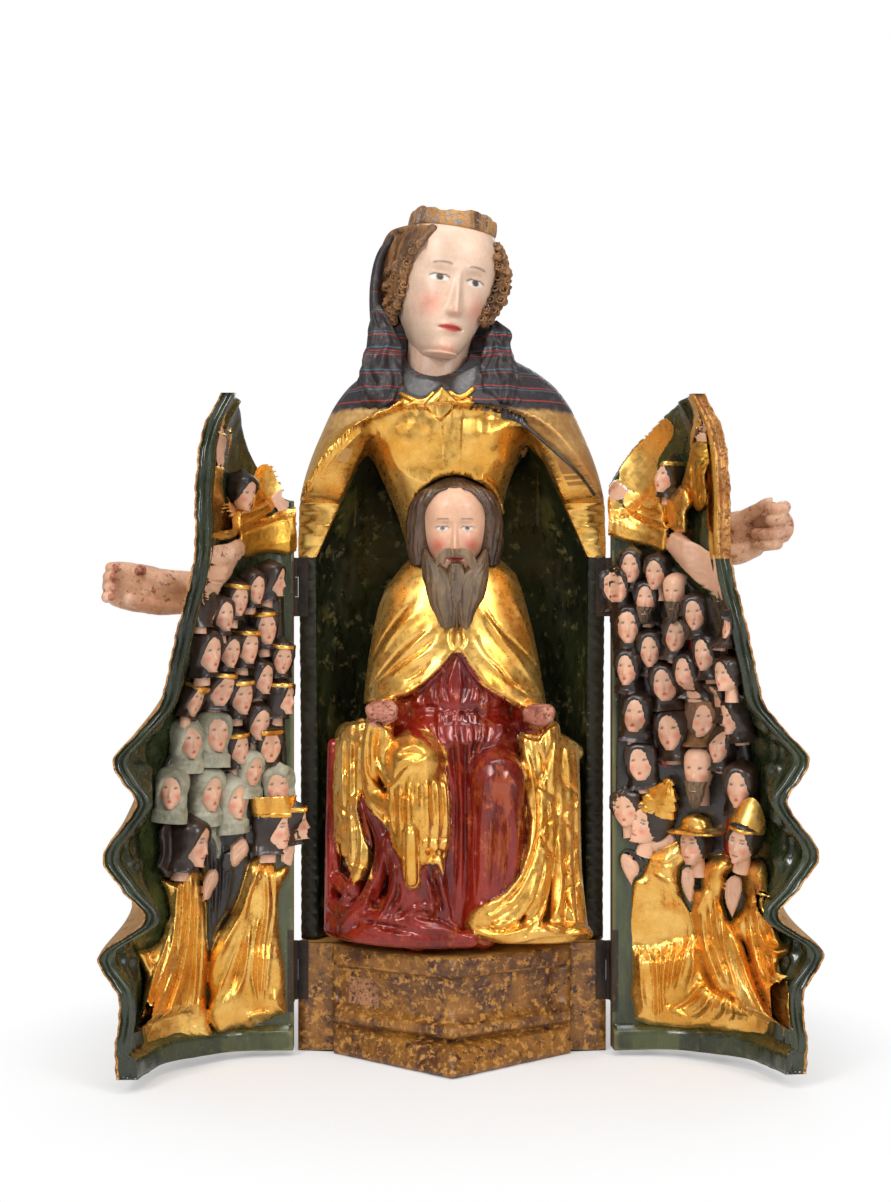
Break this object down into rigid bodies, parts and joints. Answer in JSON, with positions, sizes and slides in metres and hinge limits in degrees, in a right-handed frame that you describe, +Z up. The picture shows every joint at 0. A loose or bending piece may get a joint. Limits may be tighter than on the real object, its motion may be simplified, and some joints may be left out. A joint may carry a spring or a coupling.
{
  "type": "shrine madonna",
  "caption": "Carved, painted and gilded Virgin that opens on hinged wings, with God the Father seated in her niche and the faithful in relief inside the wings.",
  "frame": {"origin": "on the floor, midway between the two hinge lines, where the plinth stands", "axes": "+Z up, +Y towards the carved back, so the open front faces -Y, and +X is at the viewer's right"},
  "size_m": [0.972, 0.3753, 1.195],
  "materials": {
    "marbled_paint": "wood painted as brown and ochre marble, worn",
    "gilded_wood": "water-gilded and painted carved wood, worn at the edges",
    "gilded_robes": "carved wood with a gilded cape and a red glazed dress",
    "green_paint": "carved wood, dark green ground, gilded and painted figures",
    "flesh_paint": "carved wood, worn flesh colour",
    "hinge_iron": "forged iron, blackened"
  },
  "bodies": {
    "root": {"plinth": "marbled_paint", "shrine_body": "gilded_wood", "god_the_father": "gilded_robes", "left_lower_hinge_fixed": "hinge_iron", "left_upper_hinge_fixed": "hinge_iron", "right_lower_hinge_fixed": "hinge_iron", "right_upper_hinge_fixed": "hinge_iron"},
    "left_wing": {"left_wing": "green_paint", "left_hand": "flesh_paint", "left_lower_hinge_moving": "hinge_iron", "left_upper_hinge_moving": "hinge_iron"},
    "right_wing": {"right_wing": "green_paint", "right_hand": "flesh_paint", "right_lower_hinge_moving": "hinge_iron", "right_upper_hinge_moving": "hinge_iron"}
  },
  "joints": [
    {"name": "left_wing_hinge", "type": "hinge", "parent": "root", "child": "left_wing", "pos_m": [-0.224, -0.0015, 0], "axis": [0, 0, 1], "range_deg": [-20, 88]},
    {"name": "right_wing_hinge", "type": "hinge", "parent": "root", "child": "right_wing", "pos_m": [0.224, -0.0015, 0], "axis": [0, 0, 1], "range_deg": [-95.5, 20]}
  ]
}
